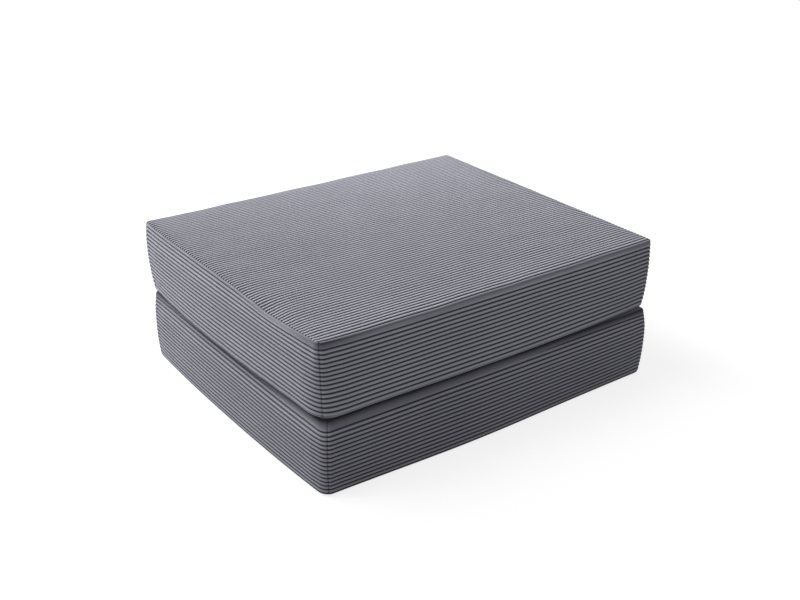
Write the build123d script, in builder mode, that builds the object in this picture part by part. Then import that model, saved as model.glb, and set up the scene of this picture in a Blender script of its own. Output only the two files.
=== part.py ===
from build123d import *
from collections import namedtuple
from math import sqrt
import os

# A fold-out ottoman guest bed. Two equal foam slabs in corduroy box covers lie one on the
# other as a low ottoman, and the top one swings over on a sewn tape hinge to make a bed.
# Frame: millimetres, +Z up, the floor at Z 0 and the origin under the middle of the ottoman.
# +X runs along the bed to the hinge side, and -Y is the long front side.

# Slabs
slab_length = 950.0
slab_width = 800.0
slab_thickness = 179.0
end_bow = 5.0  # how far the free short side bellies out in plan
front_bow = 4.0  # the same on the long front side
seat_crown = 4.0  # rise of the seat's middle over its seams, within the thickness
fold_gap = 0.3  # air between the two slabs, folded or laid out
fold_shift = 10.0  # how far back the top slab is folded over the base slab

# Rims of the walls: the draw-in at the seam and the round of the corners
Rim = namedtuple("Rim", "draw corner")
base_lower_rim = Rim(draw=3.5, corner=30.0)
base_upper_rim = Rim(draw=3.5, corner=26.0)
top_lower_rim = Rim(draw=10.0, corner=16.0)
top_upper_rim = Rim(draw=2.0, corner=14.0)

# Sewn cover and filling
cover_thickness = 3.0
seam_gap = 0.3  # air between pieces that are sewn edge to edge or lie on each other
seam_fold = 1.5  # how far a piece's edge turns in towards its seam
mitre_reach = 80.0  # length of the corner cuts, more than any corner's round
wadding_thickness = 12.0

# Hinge tape
hinge_tape_thickness = 2.0
hinge_tape_drop = 1.5  # depth of its sewn edge below its fold
hinge_tape_margin = 46.0  # kept clear of the slabs' corners

# Zip in the back wall
zip_end_margin = 60.0  # from the slab's ends to the slit's
zip_slit_height = 12.0
zip_band = 15.0  # flat band of the walls above and below the zip's line
zip_tape_overlap = 8.0  # of the tapes beyond the slit's ends
zip_tape_thickness = 0.6
zip_tape_height = 13.0
coil_height = 2.6
coil_thickness = 3.4
coil_round = 0.8
coil_row_gap = 0.9  # between the two coils, wide enough for the slider's post
stop_inset = 6.0  # from the slit's end to the middle of the stop
stop_width = 4.0
stop_round = 0.6

# Slider and pull
slider_length = 15.0
slider_plate = 1.6
slider_flange = 1.2
slider_round = 1.5
slider_clearance = 0.3
post_width = 0.4
post_length = 3.5
bridge_length = 10.0
bridge_width = 2.0
bridge_wall = 1.1
pull_length = 27.0
pull_height = 7.0
pull_thickness = 1.2
pull_slot_length = 7.0
pull_round = 2.5

# Sizes that follow
fold_level = slab_thickness
fill_inset = cover_thickness + seam_gap
zip_slit_length = slab_length - 2 * zip_end_margin
zip_tape_length = zip_slit_length + 2 * zip_tape_overlap
stop_x = zip_slit_length / 2 - stop_inset
coil_length = 2 * (stop_x - stop_width / 2 - seam_gap)
chain_reach = coil_row_gap / 2 + coil_height
plate_offset = coil_thickness / 2 + slider_clearance  # from the tape's middle to a plate
parked_x = stop_x - stop_width / 2 - slider_clearance - slider_length / 2
bridge_rise = pull_thickness + 2 * slider_clearance + bridge_wall

Slab = namedtuple("Slab", "name low high y lower upper crown")
base = Slab(
    name="base",
    low=0,
    high=fold_level - fold_gap / 2,
    y=-fold_shift / 2,
    lower=base_lower_rim,
    upper=base_upper_rim,
    crown=0,
)
top = Slab(
    name="top",
    low=fold_level + fold_gap / 2,
    high=fold_level + slab_thickness,
    y=fold_shift / 2,
    lower=top_lower_rim,
    upper=top_upper_rim,
    crown=seat_crown,
)

os.makedirs("parts", exist_ok=True)


def save(part, name):
    """Label a finished piece and write it to its own file."""
    part.label = name
    export_step(part, f"parts/{name}.step")


# The shape of a slab's walls


def wall_low(slab):
    """Lower rim of the slab's walls, on the lower panel."""
    return slab.low + fill_inset


def wall_high(slab):
    """Upper rim of the slab's walls, under the edge of the upper panel."""
    return slab.high - slab.crown - fill_inset


def widest_share(slab):
    """Where the walls are widest: -1 is their lower rim, 0 their middle, 1 their upper rim."""
    lower_root, upper_root = sqrt(slab.lower.draw), sqrt(slab.upper.draw)
    return (lower_root - upper_root) / (lower_root + upper_root)


def zip_level(slab):
    """Level of the zip, along the widest line of the walls."""
    half = (wall_high(slab) - wall_low(slab)) / 2
    return wall_low(slab) + half * (1 + widest_share(slab))


def rim_at(slab, z):
    """Draw-in and corner round of the walls at level z."""
    half = (wall_high(slab) - wall_low(slab)) / 2
    height_share = (z - wall_low(slab)) / half - 1
    widest = widest_share(slab)
    draw = slab.upper.draw * ((height_share - widest) / (1 - widest)) ** 2
    corner_rise = (slab.upper.corner - slab.lower.corner) / 2
    return Rim(draw, slab.lower.corner + corner_rise * (1 + height_share))


def plan_corners(inset):
    """Low and high X, low and high Y of the plan's corners before they are rounded."""
    low_x = -slab_length / 2 + end_bow + inset
    low_y = -slab_width / 2 + front_bow + inset
    return low_x, slab_length / 2 - inset, low_y, slab_width / 2 - inset


def plan_outline(slab, z, rim, inset=0):
    """The slab from above: two straight sides, two bowed ones and round corners."""
    low_x, high_x, low_y, high_y = plan_corners(rim.draw + inset)
    with BuildSketch(Plane((0, slab.y, z))) as outline:
        with BuildLine():
            ThreePointArc((low_x, low_y), (0, low_y - front_bow), (high_x, low_y))
            Line((high_x, low_y), (high_x, high_y))
            Line((high_x, high_y), (low_x, high_y))
            ThreePointArc((low_x, high_y), (low_x - end_bow, 0), (low_x, low_y))
        make_face()
        fillet(outline.vertices(), rim.corner - inset)
    return outline.sketch


def wall_form(slab, inset=0, fold=0):
    """The barrel-sided block inside the walls, drawn in by inset, with its rims folded in."""
    low, high = wall_low(slab), wall_high(slab)
    band_low, band_high = zip_level(slab) - zip_band, zip_level(slab) + zip_band
    levels = (low, (low + band_low) / 2, band_low, band_high, (band_high + high) / 2, high)
    outlines = [(z, inset) for z in levels]
    if fold:
        outlines[0] = (low + fold, inset)
        outlines[-1] = (high - fold, inset)
        outlines = [(low, inset + fold), *outlines, (high, inset + fold)]
    with BuildPart() as form:
        loft([plan_outline(slab, z, rim_at(slab, z), by) for z, by in outlines], ruled=True)
    return form.part


def crown_block(slab, drop):
    """A block whose top rises from level edges to the seat's crown, lowered by drop."""
    edge = slab.high - slab.crown - drop
    half_width = slab_width / 2
    sections = []
    for x, rise in ((-slab_length / 2, 0), (0, slab.crown), (slab_length / 2, 0)):
        with BuildSketch(Plane((x, slab.y, 0), x_dir=(0, 1, 0), z_dir=(1, 0, 0))) as section:
            with BuildLine():
                if rise:
                    ThreePointArc((-half_width, edge), (0, edge + rise), (half_width, edge))
                else:
                    Line((-half_width, edge), (half_width, edge))
                Line((half_width, edge), (half_width, slab.low))
                Line((half_width, slab.low), (-half_width, slab.low))
                Line((-half_width, slab.low), (-half_width, edge))
            make_face()
        sections.append(section.sketch)
    with BuildPart() as block:
        loft(sections)
    return block.part


# The sewn cover


def wall_ring(slab):
    """All four walls of the cover in one ring, folded in at both rims."""
    with BuildPart() as ring:
        add(wall_form(slab, fold=seam_fold))
        add(wall_form(slab, cover_thickness), mode=Mode.SUBTRACT)
    return ring.part


def border(slab, ring, side):
    """One wall of the cover, cut from the ring along mitred corner seams."""
    low_x, high_x, low_y, high_y = plan_corners(0)
    reach = mitre_reach
    outer = {
        "front": ((low_x - reach, low_y - reach), (high_x + reach, low_y - reach)),
        "hinge": ((high_x + reach, low_y - reach), (high_x + reach, high_y + reach)),
        "back": ((high_x + reach, high_y + reach), (low_x - reach, high_y + reach)),
        "end": ((low_x - reach, high_y + reach), (low_x - reach, low_y - reach)),
    }[side]
    inner = {
        "front": ((high_x - reach, low_y + reach), (low_x + reach, low_y + reach)),
        "hinge": ((high_x - reach, high_y - reach), (high_x - reach, low_y + reach)),
        "back": ((low_x + reach, high_y - reach), (high_x - reach, high_y - reach)),
        "end": ((low_x + reach, low_y + reach), (low_x + reach, high_y - reach)),
    }[side]
    with BuildPart() as wall:
        add(ring)
        with BuildSketch(Plane((0, slab.y, slab.low))):
            Polygon(*outer, *inner, align=None)
            offset(amount=-seam_gap / 2)
        extrude(amount=slab_thickness, mode=Mode.INTERSECT)
    return wall.part


def back_strip(slab, wall, side):
    """The back wall above (side 1) or below (side -1) the zip, cut away for its slit."""
    with BuildPart() as strip:
        add(wall)
        split(
            bisect_by=Plane.XY.offset(zip_level(slab) + side * seam_gap / 2),
            keep=Keep.TOP if side > 0 else Keep.BOTTOM,
        )
        with BuildSketch(Plane.XZ.offset(-slab.y - slab_width / 2)):
            with Locations((0, zip_level(slab))):
                SlotOverall(zip_slit_length, zip_slit_height)
        extrude(amount=mitre_reach, both=True, mode=Mode.SUBTRACT)
    return strip.part


def flat_panel(slab, z, rim, outside):
    """A flat panel of the cover, its edge folded in above (outside 1) or below (outside -1)."""
    with BuildPart() as panel:
        add(plan_outline(slab, z, rim))
        extrude(amount=cover_thickness)
        folded = panel.faces().sort_by(Axis.Z)[-1 if outside > 0 else 0]
        chamfer(folded.edges(), seam_fold)
    return panel.part


def crowned_panel(slab):
    """The seat panel, which rises to the crown in the middle, with its edge folded in."""
    fold_start = slab.high - slab.crown - seam_fold
    with BuildPart() as panel:
        add(plan_outline(slab, slab.low, slab.upper))
        extrude(amount=fold_start - slab.low)
        seam = plan_outline(slab, fold_start, slab.upper)
        loft([seam, plan_outline(slab, slab.high, slab.upper, slab.high - fold_start)], ruled=True)
        add(crown_block(slab, 0), mode=Mode.INTERSECT)
        add(crown_block(slab, cover_thickness), mode=Mode.SUBTRACT)
    return panel.part


# The filling


def flat_wadding(slab, z, rim):
    """A sheet of polyester wadding between the foam and a flat panel."""
    with BuildPart() as sheet:
        add(plan_outline(slab, z, rim, fill_inset))
        extrude(amount=wadding_thickness)
    return sheet.part


def crowned_wadding(slab):
    """The thicker wadding that raises the seat's crown."""
    low = wall_high(slab) - wadding_thickness
    with BuildPart() as sheet:
        add(plan_outline(slab, low, slab.upper, fill_inset))
        extrude(amount=wadding_thickness + slab.crown)
        add(crown_block(slab, fill_inset), mode=Mode.INTERSECT)
    return sheet.part


def foam_core(slab):
    """The foam block between the two waddings, hollowed where the zip lies."""
    low = wall_low(slab) + wadding_thickness + seam_gap
    high = wall_high(slab) - wadding_thickness - seam_gap
    with BuildPart() as foam:
        add(wall_form(slab, fill_inset))
        split(bisect_by=Plane.XY.offset(low), keep=Keep.TOP)
        split(bisect_by=Plane.XY.offset(high), keep=Keep.BOTTOM)
        with BuildSketch(Plane.XZ.offset(-slider_back(slab) + slider_clearance)):
            with Locations((0, zip_level(slab))):
                Rectangle(
                    zip_tape_length + 2 * seam_gap,
                    coil_row_gap + 2 * (zip_tape_height + seam_gap),
                )
        extrude(amount=-mitre_reach, mode=Mode.SUBTRACT)
    return foam.part


# The zip, with its tapes against the inside of the back wall


def tape_plane(slab):
    """Y of the middle of the zip tapes."""
    wall_y = slab.y + slab_width / 2 - rim_at(slab, zip_level(slab) + zip_band).draw
    return wall_y - fill_inset - zip_tape_thickness / 2


def slider_back(slab):
    """Y of the hidden face of the slider."""
    return tape_plane(slab) - plate_offset - slider_plate


def slider_front(slab):
    """Y of the visible face of the slider."""
    return tape_plane(slab) + plate_offset + slider_plate


def zip_stringer(slab, side):
    """A zip tape with its coil, above (side 1) or below (side -1) the zip's line."""
    coil_z = zip_level(slab) + side * (coil_row_gap + coil_height) / 2
    tape_z = zip_level(slab) + side * (coil_row_gap + zip_tape_height) / 2
    with BuildPart() as stringer:
        with Locations((0, tape_plane(slab), coil_z)):
            Box(coil_length, coil_thickness, coil_height)
        fillet(stringer.edges().filter_by(Axis.X), coil_round)
        with Locations((0, tape_plane(slab), tape_z)):
            Box(zip_tape_length, zip_tape_thickness, zip_tape_height)
    return stringer.part


def zip_stop(slab, side):
    """The clip across both tapes at the closed (side 1) or open (side -1) end."""
    thickness = (coil_thickness - zip_tape_thickness) / 2
    with BuildPart() as clip:
        with BuildSketch(Plane.XZ.offset(-tape_plane(slab) - coil_thickness / 2)):
            with Locations((side * stop_x, zip_level(slab))):
                RectangleRounded(stop_width, 2 * chain_reach, stop_round)
        extrude(amount=thickness)
    return clip.part


def slider(slab):
    """The slider: two flanged plates joined by a post, with a bridge for the pull."""
    channel = chain_reach + slider_clearance
    height = 2 * (channel + slider_flange)
    flange_depth = plate_offset - zip_tape_thickness / 2 - slider_clearance
    at_slider = (parked_x, zip_level(slab))
    with BuildPart() as body:
        for face_y, inward in ((slider_front(slab), 1), (slider_back(slab), -1)):
            with BuildSketch(Plane.XZ.offset(-face_y)):
                with Locations(at_slider):
                    RectangleRounded(slider_length, height, slider_round)
            extrude(amount=inward * slider_plate)
            with BuildSketch(Plane.XZ.offset(-face_y + inward * slider_plate)):
                with Locations(at_slider):
                    RectangleRounded(slider_length, height, slider_round)
                    Rectangle(slider_length, 2 * channel, mode=Mode.SUBTRACT)
            extrude(amount=inward * flange_depth)
        post_x = parked_x + (slider_length - post_length) / 2
        with Locations((post_x, tape_plane(slab), zip_level(slab))):
            Box(post_length, 2 * plate_offset, post_width)
        with BuildSketch(Plane.XY.offset(zip_level(slab) - bridge_width / 2)):
            with Locations((parked_x, slider_front(slab))):
                Rectangle(bridge_length, bridge_rise, align=(Align.CENTER, Align.MIN))
                Rectangle(
                    bridge_length - 2 * bridge_wall,
                    bridge_rise - bridge_wall,
                    align=(Align.CENTER, Align.MIN),
                    mode=Mode.SUBTRACT,
                )
        extrude(amount=bridge_width)
    return body.part


def pull(slab):
    """The pull: a flat tab whose end bar turns under the slider's bridge."""
    front = slider_front(slab) + slider_clearance + pull_thickness
    bar_edge = parked_x + pull_thickness / 2
    slot_edge = parked_x - pull_thickness / 2
    with BuildPart() as tab:
        with BuildSketch(Plane.XZ.offset(-front)):
            with Locations((bar_edge - pull_length / 2, zip_level(slab))):
                RectangleRounded(pull_length, pull_height, pull_round)
            with Locations((slot_edge - pull_slot_length / 2, zip_level(slab))):
                Rectangle(
                    pull_slot_length,
                    bridge_width + 2 * slider_clearance,
                    mode=Mode.SUBTRACT,
                )
        extrude(amount=pull_thickness)
    return tab.part


# The sewn hinge


def hinge_tape(rim, side):
    """Half of the hinge tape, from the seam of the top (1) or base (-1) to the fold line."""
    seam_x = slab_length / 2 - rim.draw + seam_gap
    fold_x = slab_length / 2
    fold_z = fold_level + side * fold_gap / 2
    seam_z = fold_z + side * hinge_tape_drop
    thickness = side * hinge_tape_thickness
    end_y = slab_width / 2 - hinge_tape_margin
    with BuildPart() as tape:
        with BuildSketch(Plane((0, end_y, 0), x_dir=(1, 0, 0), z_dir=(0, -1, 0))):
            Polygon(
                (seam_x, seam_z),
                (fold_x, fold_z),
                (fold_x, fold_z + thickness),
                (seam_x, seam_z + thickness),
                align=None,
            )
        extrude(amount=2 * end_y)
    return tape.part


# Both slabs, piece by piece

for slab in (base, top):
    name = slab.name
    ring = wall_ring(slab)
    save(border(slab, ring, "front"), f"{name}_front_border")
    save(border(slab, ring, "end"), f"{name}_end_border")
    save(border(slab, ring, "hinge"), f"{name}_hinge_border")
    back_wall = border(slab, ring, "back")
    save(back_strip(slab, back_wall, 1), f"{name}_back_border_upper")
    save(back_strip(slab, back_wall, -1), f"{name}_back_border_lower")
    save(foam_core(slab), f"{name}_foam_core")
    save(zip_stringer(slab, 1), f"{name}_zip_stringer_upper")
    save(zip_stringer(slab, -1), f"{name}_zip_stringer_lower")
    save(zip_stop(slab, 1), f"{name}_zip_top_stop")
    save(zip_stop(slab, -1), f"{name}_zip_bottom_stop")
    save(slider(slab), f"{name}_zip_slider")
    save(pull(slab), f"{name}_zip_pull")

# The panels and the waddings under them

base_panel_low = base.high - cover_thickness
save(flat_panel(base, base.low, base.lower, -1), "base_floor_panel")
save(flat_panel(base, base_panel_low, base.upper, 1), "base_sleeping_panel")
save(flat_panel(top, top.low, top.lower, -1), "top_sleeping_panel")
save(crowned_panel(top), "top_seat_panel")

base_wadding_low = wall_high(base) - wadding_thickness
save(flat_wadding(base, wall_low(base), base.lower), "base_floor_wadding")
save(flat_wadding(base, base_wadding_low, base.upper), "base_sleeping_wadding")
save(flat_wadding(top, wall_low(top), top.lower), "top_sleeping_wadding")
save(crowned_wadding(top), "top_seat_wadding")

# The two halves of the hinge tape

save(hinge_tape(base.upper, -1), "hinge_tape_base_half")
save(hinge_tape(top.lower, 1), "hinge_tape_top_half")
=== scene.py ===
# %% [markdown]
# # A fold-out ottoman guest bed in wide-wale corduroy
# Two foam slabs in sewn box covers lie one on the other, and a strip of cloth lets the top
# one swing over to make a bed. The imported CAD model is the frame: it fixes every size, and
# this script only dresses it.

import math
from collections import namedtuple

import bpy
import numpy as np
from mathutils import Matrix, Vector, kdtree


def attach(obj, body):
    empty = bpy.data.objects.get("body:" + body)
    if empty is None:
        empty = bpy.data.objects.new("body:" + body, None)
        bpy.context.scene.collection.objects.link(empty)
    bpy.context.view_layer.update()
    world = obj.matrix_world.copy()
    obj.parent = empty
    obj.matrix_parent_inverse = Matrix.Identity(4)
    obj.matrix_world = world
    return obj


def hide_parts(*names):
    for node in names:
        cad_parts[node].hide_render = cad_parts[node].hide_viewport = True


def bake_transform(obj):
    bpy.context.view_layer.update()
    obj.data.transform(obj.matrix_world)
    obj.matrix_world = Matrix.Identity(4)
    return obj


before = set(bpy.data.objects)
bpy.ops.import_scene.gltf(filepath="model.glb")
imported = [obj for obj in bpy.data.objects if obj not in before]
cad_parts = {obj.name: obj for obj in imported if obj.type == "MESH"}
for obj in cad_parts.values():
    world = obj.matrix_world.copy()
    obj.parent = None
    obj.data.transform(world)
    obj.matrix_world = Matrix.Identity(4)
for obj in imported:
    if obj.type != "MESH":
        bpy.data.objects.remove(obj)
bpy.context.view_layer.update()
mm = 0.001

# %% [markdown]
# ## The camera
# A camera was fitted to the corners of the two slabs in the photograph, so it is given here
# by where it looks, from which side, from how far and through which lens.

# %% Camera
camera_target = Vector((0.0084, -0.0068, 0.1737))
camera_azimuth, camera_elevation, camera_roll = -36.18, 25.23, 0.42
camera_distance = 2.8175
camera_lens, camera_sensor = 51.36, 36


def new_object(name, data):
    """Puts a mesh, a camera or a lamp into the scene as an object."""
    made = bpy.data.objects.new(name, data)
    bpy.context.scene.collection.objects.link(made)
    return made


def way_out(azimuth, elevation):
    """The direction that lies this many degrees round from the front and above the floor."""
    a, e = math.radians(azimuth), math.radians(elevation)
    return Vector((math.sin(a) * math.cos(e), -math.cos(a) * math.cos(e), math.sin(e)))


def aim_camera():
    """Makes the scene's camera and points it at the ottoman."""
    data = bpy.data.cameras.new("camera")
    data.lens, data.sensor_width = camera_lens, camera_sensor
    camera = new_object("camera", data)
    back = way_out(camera_azimuth, camera_elevation)
    turn = (-back).to_track_quat("-Z", "Y").to_matrix().to_4x4()
    turn = turn @ Matrix.Rotation(math.radians(camera_roll), 4, "Z")
    camera.matrix_world = Matrix.Translation(camera_target + camera_distance * back) @ turn
    bpy.context.scene.camera = camera
    return camera


camera = aim_camera()
print("camera at", [round(x, 3) for x in camera.matrix_world.translation])

# %% [markdown]
# ## The shape of a slab
# A box cover is six panels of cloth. Each wall runs between two corner seams, bellies out
# between its upper and lower seam, and turns round the corner in a small arc. Foam has no
# sharp edges, so the cloth rolls over every edge. A roll starts some way in on the panel and
# ends some way down the wall, and the seam lies between: 0 degrees is up on the panel, 90 is
# down on the wall. The slabs have the size of the CAD model, with softer rolls.

# %% Values of the two slabs
slab_length, slab_width, slab_thickness = 950 * mm, 800 * mm, 179 * mm
end_bow, front_bow = 5 * mm, 4 * mm
fold_gap, fold_shift = 0.3 * mm, 10 * mm
least_corner = 6 * mm

# A rim holds how far the wall draws in, the round of its corner, how far the roll reaches
# on the panel and how far down the wall, and the angle of the seam. A slab lies between two
# levels, its middle is at y, and crown is how far its filling rises above its own edges.
Rim = namedtuple("Rim", "draw corner roll sink seam")
Slab = namedtuple("Slab", "name low high y lower upper crown")


def rim_in_mm(*sizes, seam):
    """A rim from four sizes in mm and the seam's angle."""
    return Rim(*(size * mm for size in sizes), seam)


base = Slab("base", 0, slab_thickness - fold_gap / 2, -fold_shift / 2,
            rim_in_mm(3.5, 22, 7, 6, seam=45), rim_in_mm(3.5, 14, 10, 8, seam=30), 0)
top = Slab("top", slab_thickness + fold_gap / 2, 2 * slab_thickness, fold_shift / 2,
           rim_in_mm(10, 12, 7, 6, seam=45), rim_in_mm(2, 14, 36, 5, seam=66), 4 * mm)
# The corner that faces the viewer is rounder. Its seam has slipped some degrees round it.
Round = namedtuple("Round", "lower upper turn")
near_corner = {"base": Round(24 * mm, 26 * mm, 62), "top": Round(42 * mm, 14 * mm, 46)}


def roll_drop(distance, reach, depth):
    """How far a rolled edge, reach long and depth deep, lies under the face it turns from."""
    inside = np.clip(1 - distance / reach, 0, 1)
    return depth * (1 - np.sqrt(1 - inside**2))


def widest_share(slab):
    """Height share, from 0 at the lower edge to 1 at the upper one, where walls are widest."""
    a, b = math.sqrt(slab.lower.draw), math.sqrt(slab.upper.draw)
    return a / (a + b)


def wall_draw(slab, share):
    """How far the walls draw in at a height share, growing away from where they are widest."""
    widest = widest_share(slab)
    return slab.upper.draw * ((share - widest) / (1 - widest)) ** 2


def height_share(slab, level):
    """A level as a share of a slab's height."""
    return (level - slab.low) / (slab.high - slab.low)


def rim_at(slab, level):
    """Draw-in and corner round of the walls at a level."""
    share = height_share(slab, level)
    rolled = (roll_drop(slab.high - level, slab.upper.sink, slab.upper.roll)
              + roll_drop(level - slab.low, slab.lower.sink, slab.lower.roll))
    corner = slab.lower.corner + (slab.upper.corner - slab.lower.corner) * share
    return wall_draw(slab, share) + rolled, max(corner - rolled, least_corner)


def near_round(slab, level):
    """Round of the near corner at a level."""
    corner = near_corner[slab.name]
    return corner.lower + (corner.upper - corner.lower) * height_share(slab, level) ** 2


def seam_place(rim):
    """How far a seam lies from the panel's face and from the wall's face."""
    angle = math.radians(rim.seam)
    return rim.sink * (1 - math.cos(angle)), rim.roll * (1 - math.sin(angle))


def seam_levels(slab):
    """Levels of the lower and upper seams, somewhere round the rolled edges."""
    low = slab.low + seam_place(slab.lower)[0]
    return low, slab.high - seam_place(slab.upper)[0]


for slab in (base, top):
    print(slab.name, "seams at", [round(1000 * z, 1) for z in seam_levels(slab)], "mm")

# %% [markdown]
# ## One side of the outline
# Seen from above, a side starts partway round one corner, follows a slightly bowed line and
# ends halfway round the next corner. The corner seams stand at those two ends. The same
# line at every level makes a wall, and the four lines of a seam hold a panel between them.

# %% Outline
Side = namedtuple("Side", "along outward bow")
sides = {
    "front": Side((1, 0), (0, -1), front_bow),
    "back": Side((1, 0), (0, 1), 0),
    "end": Side((0, 1), (-1, 0), end_bow),
    "hinge": Side((0, 1), (1, 0), 0),
}
flat_panels, long_walls, short_walls = ("upper", "lower"), ("front", "back"), ("end", "hinge")
halfway = 45  # degrees round a corner at which a seam stands, apart from the near one
outline_samples = 900


def side_points(slab, name, level, shares):
    """Points (x, y) at shares of the way along one side of the outline at a level."""
    draw, corner = rim_at(slab, level)
    low = np.array((-slab_length / 2 + end_bow, -slab_width / 2 + front_bow)) + draw
    high = np.array((slab_length / 2, slab_width / 2)) - draw
    along, outward = np.array(sides[name].along), np.array(sides[name].outward)
    span = (high - low) @ along
    start, end, turn = corner, corner, halfway
    if name in ("front", "end"):
        start, turn = near_round(slab, level), near_corner[slab.name].turn
        turn = turn if name == "end" else 90 - turn
    turn, last_turn = math.radians(turn), math.radians(halfway)
    arc, last_arc = turn * start, last_turn * end
    whole = span - start - end + arc + last_arc
    travel = np.asarray(shares) * whole
    first = np.clip(1 - travel / arc, 0, 1) * turn
    last = np.clip(1 - (whole - travel) / last_arc, 0, 1) * last_turn
    run = np.where(first > 0, start * (1 - np.sin(first)), start + travel - arc)
    run = np.where(last > 0, span - end * (1 - np.sin(last)), run)
    depth = start * (1 - np.cos(first)) + end * (1 - np.cos(last))
    depth = depth - sides[name].bow * (1 - (2 * run / span - 1) ** 2)
    edge = np.where(outward > 0, high, low) * np.abs(outward)
    place = edge + low * np.abs(along) + (0, slab.y)
    return place + np.outer(run, along) - np.outer(depth, outward)


def wall_points(slab, name, columns, rows):
    """A wall as a grid of points, its rows from the lower seam to the upper one."""
    low, high = seam_levels(slab)
    grid = np.zeros((len(rows), len(columns), 3))
    for i, share in enumerate(rows):
        level = low + (high - low) * share
        grid[i, :, :2] = side_points(slab, name, level, columns)
        grid[i, :, 2] = level
    return grid


def seam_distance(points, seam):
    """How far each point of a panel lies from the seam round it, seen from above."""
    tree = kdtree.KDTree(len(seam))
    for i, (x, y) in enumerate(seam):
        tree.insert((x, y, 0), i)
    tree.balance()
    flat = points.reshape(-1, points.shape[-1])[:, :2]
    return np.array([tree.find((x, y, 0))[2] for x, y in flat]).reshape(points.shape[:2])


def panel_points(slab, upper, columns, rows):
    """The upper or lower panel, stretched between its four seams and rolled over at them."""
    level = seam_levels(slab)[1 if upper else 0]
    edge = slab.upper if upper else slab.lower
    drop, inset = seam_place(edge)
    s, t = np.asarray(columns)[None, :, None], np.asarray(rows)[:, None, None]
    front = side_points(slab, "front", level, columns)[None]
    back = side_points(slab, "back", level, columns)[None]
    end = side_points(slab, "end", level, rows)[:, None]
    hinge = side_points(slab, "hinge", level, rows)[:, None]
    flat = (1 - t) * front + t * back + (1 - s) * end + s * hinge
    flat = flat - (1 - t) * ((1 - s) * front[:, :1] + s * front[:, -1:])
    flat = flat - t * ((1 - s) * back[:, :1] + s * back[:, -1:])
    dense = np.linspace(0, 1, outline_samples)
    seam = np.concatenate([side_points(slab, name, level, dense) for name in sides])
    rise = drop - roll_drop(seam_distance(flat, seam) + inset, edge.roll, edge.sink)
    z = level + (1 if upper else -1) * rise[:, :, None]
    return np.concatenate([flat, z], axis=2)


def slab_grids(slab, columns, rows, heights, few):
    """All six panels of a slab. few picks the rows that the short walls use."""
    grids = {
        "upper": panel_points(slab, True, columns, rows),
        "lower": panel_points(slab, False, columns, rows),
    }
    for name in long_walls:
        grids[name] = wall_points(slab, name, columns, heights)
    for name in short_walls:
        grids[name] = wall_points(slab, name, np.asarray(rows)[few], heights)
    return grids


# %% [markdown]
# ## Sewing six panels into one closed cover
# Neighbouring panels share the vertices of their seam, so the cover has no gaps. The short
# walls need far fewer columns than the large panels have rows, so the faces along their
# upper and lower seams are wide ones that take in every vertex of the panel's edge.

# %% Sewing
Cover = namedtuple("Cover", "values faces ids")
panel_names = flat_panels + long_walls + short_walls


def seam_faces(ids, own, few, edge, flip):
    """The wide faces that join a short wall to the upper and lower panels."""
    made = []
    for panel, wall_row in (("lower", 1), ("upper", -2)):
        for i in range(len(few) - 1):
            shared = ids[panel][few[i]:few[i + 1] + 1, edge].tolist()
            face = [own[wall_row, i + 1], own[wall_row, i], *shared]
            made.append([int(v) for v in (face[::-1] if (panel == "upper") != flip else face)])
    return made


def sew(grids, few):
    """Joins six grids into one closed mesh. A grid holds a place and any other values."""
    ids, values, faces, count = {}, [], [], 0
    for name in panel_names:
        own = np.full(grids[name].shape[:2], -1)
        edge = 0 if name in ("front", "end") else -1
        if name in long_walls:
            own[0], own[-1] = ids["lower"][edge], ids["upper"][edge]
        if name in short_walls:
            own[0], own[-1] = ids["lower"][few, edge], ids["upper"][few, edge]
            own[:, 0], own[:, -1] = ids["front"][:, edge], ids["back"][:, edge]
        new = own < 0
        own[new] = count + np.arange(new.sum())
        values.append(grids[name][new])
        count += new.sum()
        ids[name] = own
        flip = name in ("lower", "back", "end")
        inner = own[1:-1] if name in short_walls else own
        quads = np.stack([inner[:-1, :-1], inner[:-1, 1:], inner[1:, 1:], inner[1:, :-1]], 2)
        quads = quads.reshape(-1, 4)
        faces += (quads[:, ::-1] if flip else quads).tolist()
        if name in short_walls:
            faces += seam_faces(ids, own, few, edge, flip)
    return Cover(np.concatenate(values), faces, ids)


def mesh_object(name, points, faces):
    """A new smooth mesh object at the origin."""
    mesh = bpy.data.meshes.new(name)
    mesh.from_pydata(points.tolist(), [], faces)
    mesh.shade_smooth()
    return new_object(name, mesh)


def open_edges(mesh):
    """How many edges don't lie between exactly two faces."""
    edges = np.zeros(len(mesh.loops), int)
    mesh.loops.foreach_get("edge_index", edges)
    return int((np.bincount(edges, minlength=len(mesh.edges)) != 2).sum())


# %% [markdown]
# ## Filling the cover
# Foam and wadding push the cloth out, and the seams hold it back. A coarse and slightly
# smaller copy of each cover goes through Blender's cloth simulation with its seams pinned
# and air pressure in place of the filling. Foam hardly gives, so a point may move only a few
# millimetres. What the simulation found is kept as a displacement that is added to the fine
# cover afterwards.

# %% Cloth simulation on a coarse cover
coarse_step = 24 * mm
sim_frames, sim_quality = 20, 6
sim_pressure = 4.0
sim_cap = 1.8 * mm  # foam lets no point move further than this
sim_give = 0.9 * mm  # where free cloth would move this far, foam lets it reach 3/4 of the cap


def coarse_shares(length):
    """Evenly spaced shares of a length, about coarse_step apart."""
    return np.linspace(0, 1, max(round(length / coarse_step), 2) + 1)


def coarse_cover(slab):
    """A closed cover of a few thousand points, for the simulation and for the filling."""
    columns, rows = coarse_shares(slab_length), coarse_shares(slab_width)
    few = np.arange(len(rows))
    return sew(slab_grids(slab, columns, rows, coarse_shares(slab_thickness), few), few)


def outward_normals(points, faces):
    """The normal of a closed mesh at each of its points."""
    probe = mesh_object("probe", points, faces)
    normals = np.array([v.normal for v in probe.data.vertices])
    bpy.data.objects.remove(probe)
    return normals


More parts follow.
